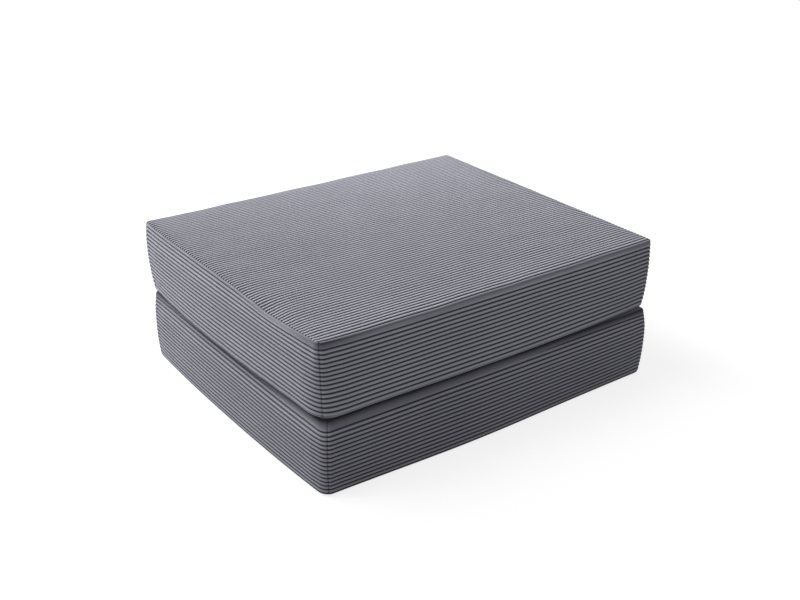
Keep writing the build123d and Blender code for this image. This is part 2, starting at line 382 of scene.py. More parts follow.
def puff(slab):
    """How far the filling moves each point of the coarse cover, panel by panel."""
    cover = coarse_cover(slab)
    normals = outward_normals(cover.values, cover.faces)
    seam = np.unique(np.concatenate([
        *(cover.ids[name][edge] for name in flat_panels for edge in (0, -1)),
        *(cover.ids[name][:, edge] for name in flat_panels + long_walls for edge in (0, -1)),
    ]))
    inset = sim_cap * normals
    inset[seam] = 0
    start = cover.values - inset
    cage = mesh_object(f"{slab.name}_cage", start, cover.faces)
    pins = cage.vertex_groups.new(name="seams")
    pins.add(seam.tolist(), 1, "REPLACE")
    cloth = cage.modifiers.new("cloth", "CLOTH")
    cloth.settings.vertex_group_mass = pins.name
    cloth.settings.use_pressure = True
    cloth.settings.uniform_pressure_force = sim_pressure
    cloth.settings.effector_weights.gravity = 0
    cloth.settings.quality = sim_quality
    cloth.point_cache.frame_start, cloth.point_cache.frame_end = 1, sim_frames
    for step in range(1, sim_frames + 1):
        bpy.context.scene.frame_set(step)
    shaped = cage.evaluated_get(bpy.context.evaluated_depsgraph_get())
    moved = np.array([v.co for v in shaped.data.vertices]) - start
    bpy.context.scene.frame_set(1)
    bpy.data.objects.remove(cage)
    size = np.linalg.norm(moved, axis=1, keepdims=True)
    print(f"{slab.name}: the air moves the cloth by {1000 * size.max():.1f} mm at most,"
          f" {1000 * np.median(size):.1f} mm in the middle of the range")
    moved = moved * sim_cap * np.tanh(size / sim_give) / np.maximum(size, 1e-9)
    return {name: (moved - inset)[cover.ids[name]] for name in panel_names}


filling = {slab.name: puff(slab) for slab in (base, top)}

# %% [markdown]
# ## Cutting the corduroy
# The wales are about 10 mm apart, and the top's cloth is stretched a little more than the
# base's. On the large panels they run along the bed, and on the walls they run level. A rib
# needs vertices in its grooves, on its flanks and on its crest, so the rows of vertices
# across the cloth are spaced by the ribs. Along the ribs the columns can be wide, apart from
# the ends, where the cloth rolls over into the seam.

# %% Rows and columns
panel_pitch = {"base": 9.9 * mm, "top": 10.3 * mm}
wall_pitch = {"base": 9.7 * mm, "top": 10 * mm}
phases = np.arange(6) / 6  # a wale's crest is at 0, and its groove at a half
least_wale_step = 0.08  # in wales: no row of vertices lies nearer than this to the last one
near_seam = np.array((0, 1.2, 3, 5.5, 9, 14, 21, 30)) * mm  # columns beside a corner seam
column_step, least_column_step = 22 * mm, 6 * mm
slit_end, slit_half = 415 * mm, 6 * mm
near_slit_end = (-8, -4, -1.5, 0, 1.5, 4, 8)  # columns beside an end of the slit, in mm
corner_rows = (0, 1, 2, 3, 4, 6, 9, 12)  # rows of a panel that a short wall uses at a corner
first_middle_row, middle_row_step = 18, 7  # and between its corners


def wale_rows(length, pitch):
    """Shares of a length for rows of vertices, and each row's count of wales from its start."""
    count = length / pitch
    wales = (np.arange(math.ceil(count))[:, None] + phases).ravel()
    wales = np.array([*wales[wales < count - least_wale_step], count])
    return wales / count, wales


def even_columns(length, extra):
    """Shares of a length for the columns, closer together near both seams and the extra ones."""
    inner = length - 2 * near_seam[-1]
    middle = near_seam[-1] + np.linspace(0, inner, round(inner / column_step) + 1)[1:-1]
    middle = [x for x in middle if all(abs(x - y) > least_column_step for y in extra)]
    return np.unique(np.round([*near_seam, *middle, *extra, *(length - near_seam)], 6)) / length


slit_columns = [slab_length / 2 + side * (slit_end + d * mm)
                for side in (-1, 1) for d in near_slit_end]
columns = even_columns(slab_length, slit_columns)
Weave = namedtuple("Weave", "rows row_wales heights height_wales few")


def weave(slab):
    """Rows of a slab's panels, heights of its walls and the rows that its short walls use."""
    low, high = seam_levels(slab)
    rows, row_wales = wale_rows(slab_width - front_bow, panel_pitch[slab.name])
    last = len(rows) - 1
    middle = range(first_middle_row, last - corner_rows[-1], middle_row_step)
    few = [*corner_rows, *middle, *(last - row for row in corner_rows)]
    return Weave(rows, row_wales, *wale_rows(high - low, wall_pitch[slab.name]), np.unique(few))


weaves = {slab.name: weave(slab) for slab in (base, top)}
for name, cut in weaves.items():
    print(f"{name}: {len(columns)} columns, {len(cut.rows)} rows, {len(cut.heights)} heights,"
          f" {cut.row_wales[-1]:.1f} wales on a panel and {cut.height_wales[-1]:.1f} on a wall")

# %% [markdown]
# ## How the sewing pulls the cloth
# No sewn box is exact. The seams wander a little, the panels are slack in places, and the
# wales follow. These small moves are smooth waves through space, so that the two panels at
# a seam move together. A fixed seed makes them the same each time. The weight of the top
# slab also pushes both walls: its foot hangs out over the brim of the base as a soft lip.

# %% Slack
slack_seed = {"base": 10, "top": 20}
bulge_size, bulge_waves = 0.8, (0.3, 0.3, 0.12)  # in mm, and wave lengths in metres
seam_waves = ((0.8, (0.16, 0.2, 2)), (0.4, (0.07, 0.07, 2)))  # the same for the upper seam
seam_sink, seam_reach = 0.3, 9 * mm  # in mm, and how far round the seam the cloth follows it
foot_reach, brim_reach, stiff_reach = 55 * mm, 30 * mm, 25 * mm  # up or down from a wall's edge
end_depth, front_depth = 0.07, 0.08  # how far into the slab a wall's push goes, in shares
front_settling, front_inward, front_updown = 4 * mm, 0.045, 30 * mm  # where the slabs meet
foot_settling, foot_inward, foot_upward = 2.5, 0.025, 22 * mm  # the top's foot at its left end
sag_reach = 35 * mm  # how far down the wall the seat's sagging edge is felt


def waves(points, seed, lengths, count=5):
    """A smooth random field between about -1 and 1, with waves of these lengths along X, Y, Z."""
    chance = np.random.RandomState(seed)
    total = np.zeros(points.shape[:-1])
    for _ in range(count):
        way = chance.normal(size=3)
        way = way / np.linalg.norm(way) * 2 * math.pi / np.array(lengths)
        total += np.sin(points @ way + chance.uniform(0, 2 * math.pi))
    return total / math.sqrt(2 * count)


def near(distance, reach):
    """1 at a distance of zero, falling smoothly to 0 beyond a reach."""
    return np.exp(-(distance / reach) ** 2)


def bow(share, power=2.5):
    """1 in the middle of a side, falling to 0 at its corners."""
    return 1 - np.abs(np.clip(2 * share - 1, -1, 1)) ** power


def wall_push(slab, s, t, foot, brim):
    """How far, in mm, the end, the front and the front corner by the hinge stand out.

    Numbers inside near are shares of the side: where a push lies and how far it reaches.
    foot and brim are 1 at the wall's lower and upper edge and fall away from there.
    """
    if slab.name == "base":
        end = foot * 6 * bow(t) - brim * (3 + 5 * near(t, 0.1) + 4 * bow(t))
        front = foot * 8 * near(s - 0.42, 0.26) - brim * (12 - 6 * s + 4 * bow(s))
        return end, front, 0
    end = foot * (13 * bow(t) + 7 * near(t, 0.12)) - brim * 1.5 * bow(t)
    front = foot * (13 * bow(s) + 10 * near(s, 0.13))
    return end, front, foot * 5 * near(1 - s, 0.05) * near(t, 0.06)


def seat_sag(slab, s, t, z):
    """How far the seat's edge moves: it sags in two places and stands up in two others.

    The dip is in mm. As in wall_push, numbers inside near are shares of the side.
    """
    high = seam_levels(slab)[1]
    dip = 7 * near(t - 0.24, 0.12) * near(s, 0.035) + near(s - 0.27, 0.09) * near(t, 0.03)
    perk = near(s, 0.05) * near(t, 0.06) + near(s, 0.4) * near(1 - t, 0.08)
    rise = perk * np.clip(slab.high - z, 0, slab.high - high) - dip * mm
    return near(np.minimum(z - high, 0), sag_reach) * rise


def slack(slab, points):
    """How far the sewing and the weight move points of a slab's cover."""
    seed = slack_seed[slab.name]
    low, high = seam_levels(slab)
    x, y, z = np.moveaxis(points, -1, 0)
    s, t = x / slab_length + 0.5, (y - slab.y) / slab_width + 0.5
    foot, brim = near(z - low, foot_reach), near(z - high, brim_reach)
    end, front, corner = wall_push(slab, s, t, foot, brim)
    middle = 1 - near(np.minimum(z - slab.low, slab.high - z), stiff_reach)
    bulge = (1 + waves(points, seed, bulge_waves)) * bulge_size * middle
    moved = np.zeros_like(points)
    moved[..., 0] -= ((end + bulge) * near(s, end_depth) - corner) * mm
    moved[..., 1] -= (front + bulge) * near(t, front_depth) * mm
    wander = sum(size * waves(points, seed + 1 + i, lengths)
                 for i, (size, lengths) in enumerate(seam_waves)) - seam_sink
    moved[..., 2] += wander * mm * near(z - high, seam_reach)
    settled = front_settling * near(t, front_inward)
    moved[..., 2] -= settled * near(z - slab_thickness, front_updown)
    if slab.name == "top":
        settled = (foot_settling + wander) * mm
        moved[..., 2] -= settled * near(s, foot_inward) * near(z - low, foot_upward)
        moved[..., 2] += seat_sag(slab, s, t, z)
    return moved


# %% [markdown]
# ## One fine cover for each slab
# Every vertex carries what the corduroy will need: how many wales it lies from the start of
# its panel, how strong the wales are there, how far it is from the nearest seam, and how
# much shade or light is painted onto its colour. The back wall is folded inwards along the
# zip's slit.

# %% Reading the filling's push and cutting the slit
# the last value is the light and shade painted into the cloth's colour
Cloth = namedtuple("Cloth", "wale strength seam nap")
fill_inset = 3.3 * mm  # thickness of the CAD cover and the air inside it
zip_band = 15 * mm  # the CAD walls stand upright this far above and below the zip
zip_tape_thickness = 0.6 * mm
slit_behind_tape = 3.8 * mm  # room for the slider's hidden half
slit_fade = 1.5 * mm  # how far the slit's ends taper
lip_round = 0.6 * mm  # how far inside its lips the folded rows of vertices start
lip_reach = 9 * mm  # how far from the zip's line the wales are pressed flat


def spline_along(values, shares):
    """Reads a row of values at shares of its length, along a smooth curve through them."""
    last = len(values) - 1
    at = np.clip(np.asarray(shares) * last, 0, last)
    i = np.minimum(at.astype(int), last - 1)
    f = (at - i).reshape((-1,) + (1,) * (values.ndim - 1))
    ends = 2 * values[0] - values[1], 2 * values[-1] - values[-2]
    padded = np.concatenate([ends[0][None], values, ends[1][None]])
    p0, p1, p2, p3 = (padded[i + k] for k in range(4))
    return 0.5 * (2 * p1 + (p2 - p0) * f + (2 * p0 - 5 * p1 + 4 * p2 - p3) * f**2
                  + (3 * p1 - p0 - 3 * p2 + p3) * f**3)


def read_grid(grid, columns, rows):
    """Reads a grid of values smoothly at shares of its two directions."""
    across = spline_along(grid, rows)
    return np.swapaxes(spline_along(np.swapaxes(across, 0, 1), columns), 0, 1)


def ramp(distance, start, end):
    """A smooth step from 0 at start to 1 at end."""
    t = np.clip((distance - start) / (end - start), 0, 1)
    return t * t * (3 - 2 * t)


def filled_levels(slab):
    """Levels at which the filling starts and ends at the walls."""
    return slab.low + fill_inset, slab.high - slab.crown - fill_inset


def zip_level(slab):
    """Level of the zip, along the widest line of the walls."""
    low, high = filled_levels(slab)
    return low + (high - low) * widest_share(slab)


def tape_plane(slab):
    """Y of the middle of the zip's tapes, inside the back wall."""
    low, high = filled_levels(slab)
    draw = wall_draw(slab, widest_share(slab) + zip_band / (high - low))
    return slab.y + slab_width / 2 - draw - fill_inset - zip_tape_thickness / 2


def cut_slit(slab, grid):
    """Folds the back wall inwards along the zip, and gives how far each point is in the slit."""
    level = zip_level(slab)
    inside = 1 - ramp(np.abs(grid[..., 0]), slit_end - slit_fade, slit_end + slit_fade)
    height = grid[:, grid.shape[1] // 2, 2] - level
    low_lip = np.argmin(np.abs(height + slit_half))
    high_lip = np.argmin(np.abs(height - slit_half))
    steps = np.arange(low_lip + 1, high_lip)
    targets = {low_lip: -slit_half, high_lip: slit_half}
    targets |= dict(zip(steps, np.linspace(-1, 1, len(steps)) * (slit_half - lip_round)))
    for row, target in targets.items():
        grid[row, :, 2] += (level + target - grid[row, :, 2]) * inside[row]
    floor_y = tape_plane(slab) - slit_behind_tape
    grid[steps, :, 1] += (floor_y - grid[steps, :, 1]) * inside[steps]
    return inside * near(grid[..., 2] - level, lip_reach)


# %% [markdown]
# ## How the wales show
# The seat's pile stands up in front and is pressed flat towards the back. A sewn edge is
# pressed plain, so the wales of a wall start some way from its seams. Shade is painted into
# the colour where shade falls: under the top's seam, round its near corner, along the edges
# of the base's sleeping side, and in the base's brim, which the lip of the top slab hangs
# over. The whole base is painted a shade darker, and the seat and the front walls get
# painted light and shade that change along them.

# %% Strength and shade of the wales
painted_slab_shade = {"base": 0.84, "top": 1.0}  # painted shade: the whole base is darker, as its pile, brushed the other way, takes the light less
wall_strength = {"front": 0.74, "end": 0.62, "hinge": 0.7, "back": 0.7}
plain_band = {  # width in mm of the wall left plain under the upper seam, at shares along it
    ("top", "front"): ((0, 0.12, 0.3, 0.45, 1), (15, 12, 14, 12, 9)),
    ("top", "end"): ((0, 0.2, 0.45, 1), (15, 10, 5, 3)),
    ("base", "front"): ((0, 0.5, 1), (22, 18, 8)),
    ("base", "end"): ((0, 0.4, 1), (20, 12, 6)),
}
other_band = ((0, 1), (12, 12))
foot_band = {"base": 0, "top": 5 * mm}  # left plain above the lower seam
wale_start = 3 * mm  # over which a wale rises beside a plain band
seat_strength, seat_back_loss, seat_hinge_loss = 1.16, 0.76, 0.18
seat_edge_gain, seat_edge_reach = 0.5, 14 * mm  # bolder along the left edge
seat_start = 1.5 * mm  # over which a wale of the seat rises beside an end's seam
# painted shade towards the back of the seat, and painted light towards its back by the hinge
painted_seat_back_shade, painted_seat_hinge_light = 0.3, 0.4
hidden_ends, hidden_sides = (6 * mm, 26 * mm), (4 * mm, 14 * mm)  # where wales start and are full
painted_fold_shadow, sleeping_reach = 0.5, 12 * mm  # painted shadow in the fold under the top slab, along the edges of the base's sleeping side
painted_brim_shadow = ((0.55, 17 * mm), (0.3, 9 * mm))  # painted shadow under the top slab's lip: amount and reach down from the base's upper seam
painted_front_light = 0.1  # painted light: lighter towards the hinge on the base, and in the middle on the top
painted_corner_shade = {"front": 0.72, "end": 0.5}  # painted shade under the seam at the near corner
corner_along, corner_down = 0.1, 14 * mm  # its reach, as a share of the wall and downwards
painted_seam_shade, painted_seam_line, painted_seam_line_width = 0.5, 3 * mm, 3.5 * mm  # a painted shade line in the crease under the seam of the top's front


def seat_cloth(columns, rows, across, length):
    """Strength of the wales on the seat, bolder at its left end, and the light and shade painted on
    it.
    """
    strength = (seat_strength - seat_back_loss * rows) * (1 - seat_hinge_loss * columns)
    strength = strength + seat_edge_gain * near(columns * length, seat_edge_reach)
    # painted shade at the back of the seat, turning to painted light towards the hinge
    shade = 1 + rows * (painted_seat_hinge_light * columns - painted_seat_back_shade)
    return strength * ramp(across, 0, seat_start), shade


def hidden_cloth(slab, name, across, up):
    """Strength of the wales on a panel that lies on the floor or the other slab, and its painted
    shade.
    """
    strength = ramp(across, *hidden_ends) * ramp(up, *hidden_sides)
    if (slab.name, name) == ("base", "upper"):
        # the sleeping side gets painted shadow along its edges, where it lies in the fold
        return strength, 1 - painted_fold_shadow * near(up, sleeping_reach)
    return strength, 1


def wall_cloth(slab, name, columns, rows, across, height):
    """Strength of the wales on a wall, with plain bands beside its seams, and the light and shade
    painted on it.
    """
    drop, foot = (1 - rows) * height, foot_band[slab.name]
    band = np.interp(columns, *plain_band.get((slab.name, name), other_band)) * mm
    strength = wall_strength[name] * ramp(drop, band, band + wale_start)
    strength = strength * ramp(height - drop, foot, foot + wale_start) * ((rows > 0) & (rows < 1))
    beside_corner_seam = 0.9 + 0.1 * ramp(across, 0, 2 * mm)
    strength = strength * beside_corner_seam
    shade = 1
    if name == "front":
        # painted light along the front wall
        shade = 1 + painted_front_light * (columns if slab.name == "base" else bow(columns))
    if slab.name == "base":
        # the base's brim gets painted shadow where the top slab's lip hangs over it
        return strength, shade * (1 - sum(dark * near(drop, reach) for dark, reach in painted_brim_shadow))
    # painted shade under the seam round the near corner
    if name in painted_corner_shade:
        corner = near(columns, corner_along) * near(drop, corner_down)
        shade = shade * (1 - painted_corner_shade[name] * corner)
    # painted shade in the crease just under the seam of the top's front wall
    if name == "front":
        shade = shade * (1 - painted_seam_shade * near(drop - painted_seam_line, painted_seam_line_width))
    return strength, shade


def panel_cloth(slab, name, columns, rows, wales, length, height):
    """Wale count, wale strength, seam distance and painted light and shade over a panel."""
    columns, rows, wales = columns[None, :], rows[:, None], wales[:, None]
    across = np.minimum(columns, 1 - columns) * length
    up = np.minimum(rows, 1 - rows) * height
    if (slab.name, name) == ("top", "upper"):
        strength, shade = seat_cloth(columns, rows, across, length)
    elif name in flat_panels:
        strength, shade = hidden_cloth(slab, name, across, up)
    else:
        strength, shade = wall_cloth(slab, name, columns, rows, across, height)
    # painted shade of the whole slab times the painted light and shade of this panel
    nap = painted_slab_shade[slab.name] * shade
    values = np.broadcast_arrays(wales, strength, np.minimum(across, up), nap)
    return np.stack(values, axis=2)


# %% [markdown]
# ## Putting a cover together
# The smooth shape, the filling's push, the slack and the cloth values meet here, and the
# six panels are sewn into one closed mesh.

# %% Cover objects
def fine_cover(slab):
    """The fine cover of a slab, filled and slack, with its cloth values."""
    rows, row_wales, heights, height_wales, few = weaves[slab.name]
    grids = slab_grids(slab, columns, rows, heights, few)
    for name, grid in grids.items():
        large, short = name in flat_panels, name in short_walls
        s = rows[few] if short else columns
        t, wales = (rows, row_wales) if large else (heights, height_wales)
        wide = slab_width if short else slab_length
        grid += read_grid(filling[slab.name][name], s, t)
        grid += slack(slab, grid)
        tall = slab_width if large else seam_levels(slab)[1] - seam_levels(slab)[0]
        cloth = panel_cloth(slab, name, s, t, wales, wide, tall)
        if name == "back":
            pressed_plain = ramp(cut_slit(slab, grid), 0.2, 0.6)
            cloth[..., 1] *= 1 - pressed_plain
        grids[name] = np.concatenate([grid, cloth], axis=2)
    return sew(grids, few)


def cover_object(slab):
    """The cover as a mesh whose vertices carry their cloth values."""
    cover = fine_cover(slab)
    piece = mesh_object(f"{slab.name}_cover", cover.values[:, :3], cover.faces)
    for i, field in enumerate(Cloth._fields):
        values = piece.data.attributes.new(field, "FLOAT", "POINT")
        values.data.foreach_set("value", cover.values[:, 3 + i].astype(np.float32))
    print(f"{piece.name}: {len(cover.values)} points, {len(cover.faces)} faces,"
          f" {open_edges(piece.data)} open edges")
    return piece


covers = {slab.name: cover_object(slab) for slab in (base, top)}

# %% [markdown]
# ## The filling
# Inside each cover is the foam with its wadding. It is never seen while the zip is closed,
# so it is a plain, coarse form a little smaller than the cover.

# %% Foam and wadding
filling_depth = 10 * mm


def filling_object(slab):
    """The foam and wadding of a slab as one closed form under its cover."""
    cover = coarse_cover(slab)
    inner = cover.values - filling_depth * outward_normals(cover.values, cover.faces)
    inner += slack(slab, cover.values)
    piece = mesh_object(f"{slab.name}_filling", inner, cover.faces)
    print(f"{piece.name}: {len(cover.faces)} faces, {open_edges(piece.data)} open edges")
    return piece


fillings = {slab.name: filling_object(slab) for slab in (base, top)}

# %% [markdown]
# ## A short way to write nodes
# Materials and Geometry Nodes trees are both graphs of nodes. A small class wraps a socket,
# so that a sum on sockets is written as a sum and adds its own Math nodes. Every other node
# comes from one method that takes its type, its settings and the values of its sockets.

# %% Node helpers
class Wire:
    """The output of a node, which can be used in sums."""

    def __init__(self, graph, socket):
        self.graph, self.socket = graph, socket

    def _sum(self, operation, *values):
        return self.graph.node("ShaderNodeMath", {"operation": operation}, dict(enumerate(values)))

    def __add__(self, other):
        return self._sum("ADD", self, other)

    def __sub__(self, other):
        return self._sum("SUBTRACT", self, other)

    def __mul__(self, other):
        return self._sum("MULTIPLY", self, other)

    def __truediv__(self, other):
        return self._sum("DIVIDE", self, other)

    def __pow__(self, other):
        return self._sum("POWER", self, other)

    def __abs__(self):
        return self._sum("ABSOLUTE", self)

    def __rsub__(self, other):
        return self._sum("SUBTRACT", other, self)

    __radd__, __rmul__ = __add__, __mul__

    def sine(self):
        return self._sum("SINE", self)

    def clipped(self):
        """The value, kept between 0 and 1."""
        return self._sum("MINIMUM", self._sum("MAXIMUM", self, 0), 1)


class Graph:
    """A node tree that is being filled."""

    def __init__(self, tree):
        self.tree = tree

    def node(self, kind, settings=None, sockets=None, output=0):
        """Adds a node, sets it up, feeds its sockets and gives one of its outputs."""
        made = self.tree.nodes.new(kind)
        for name, value in (settings or {}).items():
            setattr(made, name, value)
        for name, value in (sockets or {}).items():
            if isinstance(value, Wire):
                self.tree.links.new(value.socket, made.inputs[name])
            else:
                made.inputs[name].default_value = value
        return Wire(self, made.outputs[output]) if made.outputs else made


def colour(code):
    """A colour as shown on a screen, from 0 to 255, as the linear colour that nodes use."""
    return (*[((c / 255 + 0.055) / 1.055) ** 2.4 for c in code], 1)


def new_material(name):
    """An empty material and the graph to fill it with."""
    material = bpy.data.materials.new(name)
    material.use_nodes = True
    material.node_tree.nodes.clear()
    return material, Graph(material.node_tree)


def finish_material(graph, sockets):
    """Puts a Principled shader with these sockets at a graph's end."""
    shader = graph.node("ShaderNodeBsdfPrincipled", None, sockets)
    graph.node("ShaderNodeOutputMaterial", None, {"Surface": shader})


def own_place(graph, change=None):
    """The piece's own coordinates, scaled or turned where a change is given."""
    place = graph.node("ShaderNodeTexCoord", None, None, "Object")
    if change:
        place = graph.node("ShaderNodeMapping", None, {"Vector": place, **change})
    return place


def noise(graph, scale, detail=2.0, roughness=0.5, stretch=None):
    """Noise on the piece's own coordinates, scale times a metre."""
    place = own_place(graph, stretch and {"Scale": stretch})
    return graph.node("ShaderNodeTexNoise", None,
                      {"Vector": place, "Scale": scale, "Detail": detail, "Roughness": roughness})


def mix_colours(graph, factor, a, b, blend="MIX"):
    """A colour between two, or one blended over the other."""
    settings = {"data_type": "RGBA", "blend_type": blend, "clamp_result": blend == "MIX"}
    colours = {"Factor": factor, 6: a, 7: b}  # sockets 6 and 7 and output 2 are the colours
    return graph.node("ShaderNodeMix", settings, colours, 2)


def bumps(graph, height, size, strength):
    """A normal that follows a height, size metres high where the height is 1."""
    return graph.node("ShaderNodeBump", None,
                      {"Strength": strength, "Distance": size, "Height": height})


def two_tone_material(name, dark, light, roughness, **pattern):
    """A material whose colour and gloss vary between two tones in a noise pattern."""
    material, graph = new_material(name)
    amount = noise(graph, **pattern)
    tone = mix_colours(graph, amount, colour(dark), colour(light))
    finish_material(graph, {"Base Color": tone, "Roughness": roughness + 0.2 * amount})
    return material


# %% [markdown]
# ## Corduroy
# Corduroy is cotton with rows of cut pile. The tips of the pile catch the light, and the
# grooves between the rows are dark because little light gets in: the groove colour is the
# bare weave with that shade painted in. The light and shade that each vertex carries is
# painted into the colour too, and so is shade along the seams. Each vertex says how far up a
# wale it is, so the grooves are coloured where they really are. Sheen is the same all over
# and is set once.

# %% Corduroy material
# the groove colour is partly the bare ground weave and partly painted shade in the groove
pile_colour, groove_weave_and_painted_shade, sheen_colour = (195, 194, 207), (58, 58, 66), (225, 228, 235)
fibre_scale, tuft_scale, brushed_scale, worn_scale = 900, 210, 9, 2.6  # patterns in a metre
pile_start, pile_growth = 0.3, 1.43  # how far up a wale the cut pile begins to show over the painted groove shade
painted_seam_line_scale = 400  # painted shade in a seam's crease is 1/400 of a metre wide
pile_height = 0.8 * mm


def corduroy_material():
    """Grey corduroy, with shade painted into its grooves and along its seams."""
    material, graph = new_material("wide-wale corduroy")
    rib, seam, nap = (graph.node("ShaderNodeAttribute", {"attribute_name": name}, None, "Fac")
                      for name in ("rib", "seam", "nap"))
    fibre = noise(graph, fibre_scale, 3, 0.6)
    tuft, brushed = noise(graph, tuft_scale, 3), noise(graph, brushed_scale, 3)
    worn = noise(graph, worn_scale)
    crest = ((rib - pile_start) * pile_growth).clipped()
    pile = crest * crest * (3 - 2 * crest)
    cloth = mix_colours(graph, pile, colour(groove_weave_and_painted_shade), colour(pile_colour))
    # Each pattern is weighed by how much it lightens or darkens the cloth.
    tone = 0.80 + 0.16 * brushed + 0.12 * worn + 0.14 * (tuft - 0.5) + 0.26 * (fibre - 0.5)
    # painted shade along the crease of every seam
    painted_seam_line = 1 - 0.5 * (1 - seam * painted_seam_line_scale).clipped()
    # the cloth's own mottling times painted shade along the seams and the painted light and shade
    # of each vertex
    shade = tone * painted_seam_line * nap
    channels = dict.fromkeys(("Red", "Green", "Blue"), shade)
    grey = graph.node("ShaderNodeCombineColor", None, channels)
    finish_material(graph, {
        "Base Color": mix_colours(graph, 1.0, cloth, grey, "MULTIPLY"),
        "Roughness": 0.86 + 0.12 * fibre,
        "Normal": bumps(graph, 0.6 * fibre + 0.4 * tuft, pile_height, 0.55),
        "Specular IOR Level": 0.2, "Sheen Weight": 0.25, "Sheen Roughness": 0.45,
        "Sheen Tint": colour(sheen_colour),
    })
    return material


corduroy = corduroy_material()
print(corduroy.name, "has", len(corduroy.node_tree.nodes), "nodes")

# %% [markdown]
# ## The wales
# A Geometry Nodes tree turns the smooth cover into corduroy. It moves each vertex inwards
# by how far it lies from the crest of its wale, so the crests keep the size of the smooth
# cover. It also draws every seam in, and writes down how far up its wale each vertex is.

# %% Geometry Nodes for the wales
wale_sizes = {
    "depth": 3.1 * mm, "sharpness": 1.1, "flat pile": 0.7, "seam pull": 1.4 * mm,
    "seam reach": 1.7 * mm, "unevenness": 0.25 * mm, "seed": 3,
}
patch_scale = 70.0  # patches of higher and lower pile in a metre


def new_tree(name, inputs):
    """A Geometry Nodes tree with a geometry input, these number inputs and its wires."""
    tree = bpy.data.node_groups.new(name, "GeometryNodeTree")
    tree.is_modifier = True
    tree.interface.new_socket("Geometry", in_out="INPUT", socket_type="NodeSocketGeometry")
    tree.interface.new_socket("Geometry", in_out="OUTPUT", socket_type="NodeSocketGeometry")
    for title, value in inputs.items():
        kind = "NodeSocketInt" if isinstance(value, int) else "NodeSocketFloat"
        socket = tree.interface.new_socket(title, in_out="INPUT", socket_type=kind)
        socket.default_value = value
    entry = tree.nodes.new("NodeGroupInput")
    graph = Graph(tree)
    return graph, {socket.name: Wire(graph, socket) for socket in entry.outputs if socket.name}


def end_tree(graph, geometry, material):
    """Ends a tree in real, dressed geometry."""
    real = graph.node("GeometryNodeRealizeInstances", None, {"Geometry": geometry})
    dressed = graph.node("GeometryNodeSetMaterial", None, {"Geometry": real, "Material": material})
    graph.node("NodeGroupOutput", None, {"Geometry": dressed})
    return graph.tree


def run_tree(piece, tree, sizes):
    """Runs a tree on a piece and leaves the result as the piece's own plain mesh."""
    modifier = piece.modifiers.new(tree.name, "NODES")
    modifier.node_group = tree
    for socket in tree.interface.items_tree:
        if socket.in_out == "INPUT" and socket.name in sizes:
            modifier[socket.identifier] = sizes[socket.name]
    ready = piece.evaluated_get(bpy.context.evaluated_depsgraph_get())
    mesh = bpy.data.meshes.new_from_object(ready)
    piece.modifiers.remove(modifier)
    piece.data = mesh
    print(f"{piece.name}: {tree.name} gave {len(mesh.polygons)} faces")
    return piece


def wale_tree(material):
    """The tree that raises wales on a cover."""
    graph, given = new_tree("corduroy wales", wale_sizes)

    def field(name):
        settings = {"data_type": "FLOAT"}
        return graph.node("GeometryNodeInputNamedAttribute", settings, {"Name": name})

    crest = abs((field("wale") * math.pi + math.pi / 2).sine()) ** given["sharpness"]
    rib = given["flat pile"] + (crest - given["flat pile"]) * field("strength")
    seam = field("seam") / given["seam reach"]
    pulled = given["seam pull"] / (1 + seam * seam * seam)
    patch = graph.node("ShaderNodeTexNoise", {"noise_dimensions": "4D"},
                       {"W": given["seed"], "Scale": patch_scale, "Detail": 2.0})
    inwards = (1 - rib) * given["depth"] + pulled + patch * given["unevenness"] * rib
    normal = graph.node("GeometryNodeInputNormal")
    move = graph.node("ShaderNodeVectorMath", {"operation": "SCALE"},
                      {0: normal, "Scale": 0 - inwards})
    shaped = graph.node("GeometryNodeSetPosition", None,
                        {"Geometry": given["Geometry"], "Offset": move})
    kept = graph.node("GeometryNodeStoreNamedAttribute", {"data_type": "FLOAT", "domain": "POINT"},
                      {"Geometry": shaped, "Name": "rib", "Value": rib})
    return end_tree(graph, kept, material)


wales = wale_tree(corduroy)
for cover in covers.values():
    run_tree(cover, wales, wale_sizes)

# %% [markdown]
# ## Which CAD pieces the covers stand for
# The sewn walls and panels are soft, so the cover takes their place, and the filling takes
# that of the foam and the wadding. The zip stays where the CAD model has it.

# %% Frame ties of the covers
walls = ("front_border", "end_border", "hinge_border", "back_border_upper", "back_border_lower")
sewn_nodes = {
    "base": [*walls, "floor_panel", "sleeping_panel"],
    "top": [*walls, "sleeping_panel", "seat_panel"],
}
filled_nodes = {
    "base": ["foam_core", "floor_wadding", "sleeping_wadding"],
    "top": ["foam_core", "sleeping_wadding", "seat_wadding"],
}
for name in covers:
    for piece, nodes, finish in ((covers[name], sewn_nodes[name], "corduroy"),
                                 (fillings[name], filled_nodes[name], "foam")):
        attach(piece, f"{name}_slab")
        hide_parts(*(f"{name}_{node}" for node in nodes))
        print(piece.name, "stands for", len(nodes), "nodes")

# %% [markdown]
# ## Stitches and coil
# A stitch row and a zip's coil are the same small shape repeated along a line. One tree
# follows any line and sets beads on it, long and thin for thread and short and thick for
# the coil's turns.

# %% Geometry Nodes for beads along a line
coil_height, coil_thickness, coil_row_gap = 2.6 * mm, 3.4 * mm, 0.9 * mm
tooth_rise = 0.15 * mm  # how far the turns stand proud of the plain bar
stitch_sizes = {
    "spacing": 4.2 * mm, "bead length": 3.2 * mm, "bead width": 0.8 * mm,
    "bead height": 0.8 * mm,
}
turn_sizes = {
    "spacing": 1.6 * mm, "bead length": 1.3 * mm, "bead width": coil_height + 2 * tooth_rise,
    "bead height": coil_thickness + 2 * tooth_rise,
}


